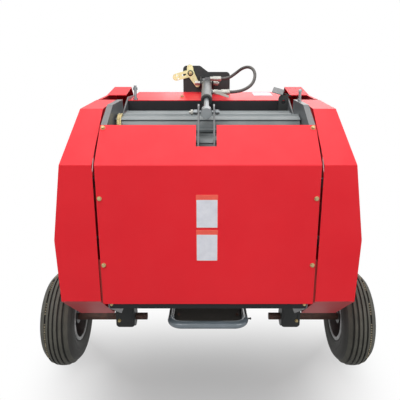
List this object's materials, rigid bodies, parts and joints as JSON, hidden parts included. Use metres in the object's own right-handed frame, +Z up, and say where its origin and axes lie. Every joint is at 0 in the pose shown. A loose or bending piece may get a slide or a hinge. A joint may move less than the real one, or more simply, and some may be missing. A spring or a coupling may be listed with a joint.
{
  "type": "small round baler",
  "caption": "Towed mini round baler with a ribbed-roller chamber, lifting tailgate, tined pickup, ribbed tyres and parking legs.",
  "frame": {"origin": "middle of the overall box on the ground it stands on", "axes": "+X to the right seen from behind, +Y forward, the way it is towed, +Z up"},
  "size_m": [1.526, 1.408, 1.435],
  "materials": {
    "red_paint": "semi-gloss powder coat",
    "grey_paint": "satin",
    "dark_paint": "satin black",
    "roller_steel": "satin grey",
    "ramp_paint": "satin blue grey",
    "rusty_steel": "rusted brown",
    "bright_steel": "machined",
    "chrome_rod": "plated",
    "yellow_zinc": "yellow zinc plating on steel",
    "tyre_rubber": "matt",
    "rim_paint": "satin",
    "cast_housing": "painted casting",
    "hose_rubber": "matt",
    "black_plastic": "matt"
  },
  "bodies": {
    "frame": {"axle_bracket_left": "dark_paint", "axle_bracket_right": "dark_paint", "bale_ramp": "ramp_paint", "chamber_plate_left": "grey_paint", "chamber_plate_right": "grey_paint", "cross_shaft_tube": "dark_paint", "cylinder_base_pin": "bright_steel", "front_crossbeam": "dark_paint", "front_rollers": "roller_steel", "front_side_cover_left": "red_paint", "front_side_cover_right": "red_paint", "gearbox": "cast_housing", "hinge_roller": "roller_steel", "hitch_beam": "dark_paint", "input_shaft_shield": "black_plastic", "latch_lever": "yellow_zinc", "lock_hook": "grey_paint", "lock_post": "bright_steel", "lower_crossbeam": "dark_paint", "mast": "dark_paint", "pickup_frame": "dark_paint", "stripper_bands": "dark_paint", "stub_axle_left": "rusty_steel", "stub_axle_right": "rusty_steel", "top_crossbeam": "dark_paint", "top_sheet": "red_paint", "twine_box": "red_paint"},
    "tailgate": {"tailgate_panel": "red_paint", "tailgate_top_beam": "grey_paint", "tailgate_bottom_beam": "dark_paint", "tailgate_rollers": "roller_steel", "cylinder_ears": "grey_paint", "tailgate_plate_left": "grey_paint", "tailgate_plate_right": "grey_paint", "rear_side_cover_left": "red_paint", "rear_side_cover_right": "red_paint", "panel_bolts": "yellow_zinc", "gate_post": "bright_steel"},
    "cylinder_barrel": {"cylinder_barrel": "grey_paint", "hose_fittings": "yellow_zinc", "hose": "hose_rubber"},
    "cylinder_rod": {"cylinder_rod": "chrome_rod"},
    "wheel_left": {"tyre_left": "tyre_rubber", "wheel_rim_left": "rim_paint"},
    "wheel_right": {"tyre_right": "tyre_rubber", "wheel_rim_right": "rim_paint"},
    "pickup_reel": {"pickup_reel": "dark_paint"},
    "input_shaft": {"input_shaft": "bright_steel"},
    "twine_box_lid": {"twine_box_lid": "red_paint"},
    "parking_leg_left": {"parking_leg_left": "dark_paint"},
    "parking_leg_right": {"parking_leg_right": "dark_paint"}
  },
  "joints": [
    {"name": "tailgate_hinge", "type": "hinge", "parent": "frame", "child": "tailgate", "pos_m": [0, -0.26991, 1.18451], "axis": [-1, 0, 0], "range_deg": [0, 50]},
    {"name": "cylinder_swing", "type": "hinge", "parent": "frame", "child": "cylinder_barrel", "pos_m": [-0.006, 0.09, 1.345], "axis": [-1, 0, 0], "range_deg": [0, 17.85]},
    {"name": "rod_slide", "type": "slide", "parent": "cylinder_barrel", "child": "cylinder_rod", "axis": [0, 0.9851, 0.1722], "range_m": [0, 0.13567]},
    {"name": "wheel_left_spin", "type": "hinge", "parent": "frame", "child": "wheel_left", "pos_m": [-0.69, -0.197, 0.228], "axis": [1, 0, 0], "continuous": true},
    {"name": "wheel_right_spin", "type": "hinge", "parent": "frame", "child": "wheel_right", "pos_m": [0.69, -0.197, 0.228], "axis": [1, 0, 0], "continuous": true},
    {"name": "pickup_reel_spin", "type": "hinge", "parent": "frame", "child": "pickup_reel", "pos_m": [0, 0.165, 0.335], "axis": [1, 0, 0], "continuous": true},
    {"name": "input_shaft_spin", "type": "hinge", "parent": "frame", "child": "input_shaft", "pos_m": [0, 0.55, 0.73], "axis": [0, 1, 0], "continuous": true},
    {"name": "twine_lid_hinge", "type": "hinge", "parent": "frame", "child": "twine_box_lid", "pos_m": [0, 0.439, 1.182], "axis": [-1, 0, 0], "range_deg": [0, 100]},
    {"name": "parking_leg_left_slide", "type": "slide", "parent": "frame", "child": "parking_leg_left", "axis": [0, 0, 1], "range_m": [0, 0.25]},
    {"name": "parking_leg_right_slide", "type": "slide", "parent": "frame", "child": "parking_leg_right", "axis": [0, 0, 1], "range_m": [0, 0.25]}
  ],
  "couplings": [
    {"joint": "cylinder_swing", "follows": "tailgate_hinge", "ratio": 0.35696},
    {"joint": "rod_slide", "follows": "tailgate_hinge", "m_per_rad": 0.15546}
  ]
}
